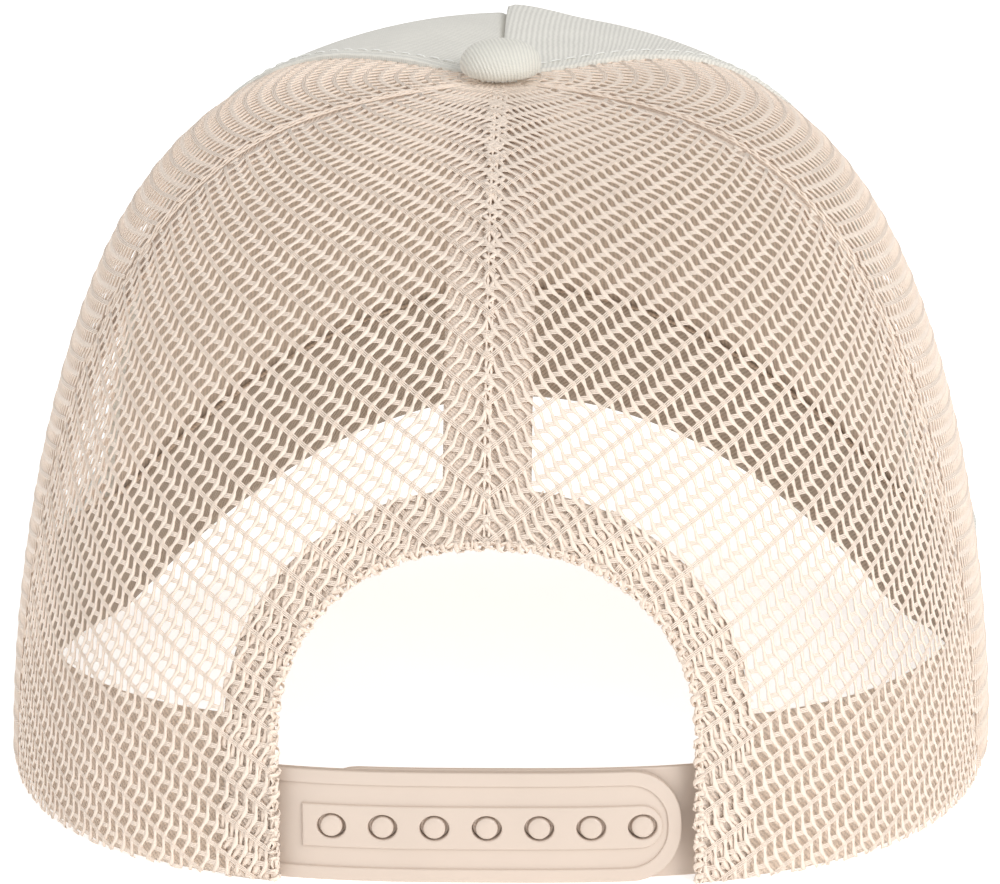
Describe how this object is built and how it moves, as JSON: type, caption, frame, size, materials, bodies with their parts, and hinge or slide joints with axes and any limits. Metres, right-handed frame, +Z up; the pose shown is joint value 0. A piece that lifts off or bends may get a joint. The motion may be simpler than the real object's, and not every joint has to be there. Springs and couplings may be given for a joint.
{
  "type": "trucker cap",
  "caption": "Trucker cap with stiff twill front panels, open mesh sides and back, a curved brim, a covered button and a plastic snap strap over an arched rear opening.",
  "frame": {"origin": "under the middle of the whole cap, on the surface that it rests on", "axes": "+Z up, -Y the way the brim points, +X the wearer's left"},
  "size_m": [0.1718, 0.2676, 0.1173],
  "materials": {
    "front_cloth": "matte off-white cotton twill",
    "mesh_cloth": "cream polyester mesh, slightly shiny",
    "band_cloth": "matte beige twill tape",
    "strap_plastic": "satin cream plastic"
  },
  "bodies": {
    "root": {"front_panel_left": "front_cloth", "front_panel_right": "front_cloth", "brim": "front_cloth", "button": "front_cloth", "mesh_side_left": "mesh_cloth", "mesh_side_right": "mesh_cloth", "mesh_back_left": "mesh_cloth", "mesh_back_right": "mesh_cloth", "rear_hem": "mesh_cloth", "back_seam_tape": "band_cloth", "side_seam_tape_left": "band_cloth", "side_seam_tape_right": "band_cloth", "sweatband": "band_cloth", "strap_outer": "strap_plastic", "strap_inner": "strap_plastic"}
  },
  "joints": []
}
